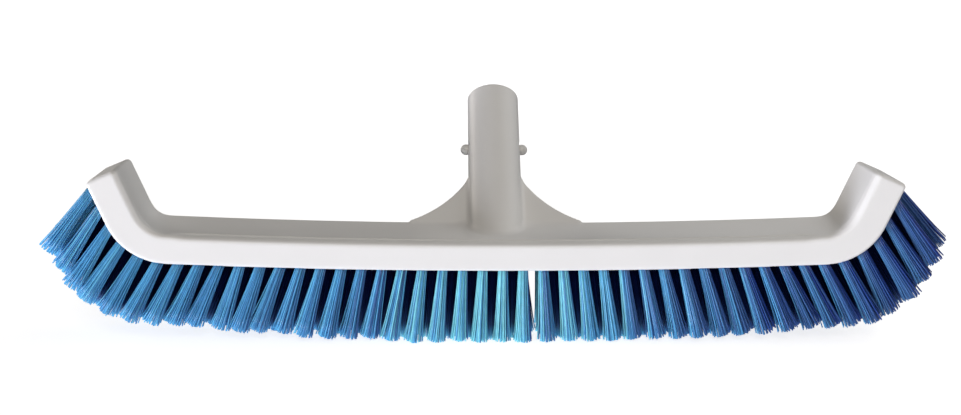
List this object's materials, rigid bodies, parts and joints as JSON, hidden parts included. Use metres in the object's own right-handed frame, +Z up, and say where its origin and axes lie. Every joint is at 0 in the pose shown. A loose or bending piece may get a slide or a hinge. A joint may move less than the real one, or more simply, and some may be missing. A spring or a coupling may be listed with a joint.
{
  "type": "pool wall brush",
  "caption": "Curved pool wall brush: bowed white block with upturned ends, blue bristle tufts, and a slanted tube with two spring buttons that a telescopic pole slips over.",
  "frame": {"origin": "under the middle of the whole brush, on the plane of the bristle tips that it stands on", "axes": "+X along the brush, +Y towards the open end of the slanted tube, +Z up away from the bristles"},
  "size_m": [0.4716, 0.1122, 0.1241],
  "materials": {
    "white_plastic": "satin moulded",
    "clip_plastic": "satin moulded",
    "blue_bristle": "drawn filament, slightly glossy"
  },
  "bodies": {
    "brush": {"brush_block": "white_plastic", "handle_socket": "white_plastic", "v_clip_bend": "clip_plastic", "tuft_rank_01": "blue_bristle", "tuft_rank_02": "blue_bristle", "tuft_rank_03": "blue_bristle", "tuft_rank_04": "blue_bristle", "tuft_rank_05": "blue_bristle", "tuft_rank_06": "blue_bristle", "tuft_rank_07": "blue_bristle", "tuft_rank_08": "blue_bristle", "tuft_rank_09": "blue_bristle", "tuft_rank_10": "blue_bristle", "tuft_rank_11": "blue_bristle", "tuft_rank_12": "blue_bristle", "tuft_rank_13": "blue_bristle", "tuft_rank_14": "blue_bristle", "tuft_rank_15": "blue_bristle", "tuft_rank_16": "blue_bristle", "tuft_rank_17": "blue_bristle", "tuft_rank_18": "blue_bristle", "tuft_rank_19": "blue_bristle", "tuft_rank_20": "blue_bristle", "tuft_rank_21": "blue_bristle", "tuft_rank_22": "blue_bristle", "tuft_rank_23": "blue_bristle", "tuft_rank_24": "blue_bristle", "tuft_rank_25": "blue_bristle", "tuft_rank_26": "blue_bristle", "tuft_rank_27": "blue_bristle", "tuft_rank_28": "blue_bristle", "tuft_rank_29": "blue_bristle", "tuft_rank_30": "blue_bristle", "tuft_rank_31": "blue_bristle", "tuft_rank_32": "blue_bristle", "tuft_rank_33": "blue_bristle", "tuft_rank_34": "blue_bristle", "tuft_rank_35": "blue_bristle", "tuft_rank_36": "blue_bristle", "tuft_rank_37": "blue_bristle", "tuft_rank_38": "blue_bristle", "tuft_rank_39": "blue_bristle", "tuft_rank_40": "blue_bristle", "tuft_rank_41": "blue_bristle", "tuft_rank_42": "blue_bristle", "tuft_rank_43": "blue_bristle", "tuft_rank_44": "blue_bristle"},
    "left_clip_leg": {"v_clip_left_leg": "clip_plastic"},
    "right_clip_leg": {"v_clip_right_leg": "clip_plastic"}
  },
  "joints": [
    {"name": "left_button_press", "type": "hinge", "parent": "brush", "child": "left_clip_leg", "pos_m": [-0.0046, -0.00538, 0.06421], "axis": [0, 0.6934, -0.7206], "range_deg": [0, 6.8], "stiffness_Nm_per_rad": 2, "springref_deg": -2.86},
    {"name": "right_button_press", "type": "hinge", "parent": "brush", "child": "right_clip_leg", "pos_m": [0.0046, -0.00538, 0.06421], "axis": [0, -0.6934, 0.7206], "range_deg": [0, 6.8], "stiffness_Nm_per_rad": 2, "springref_deg": -2.86}
  ]
}
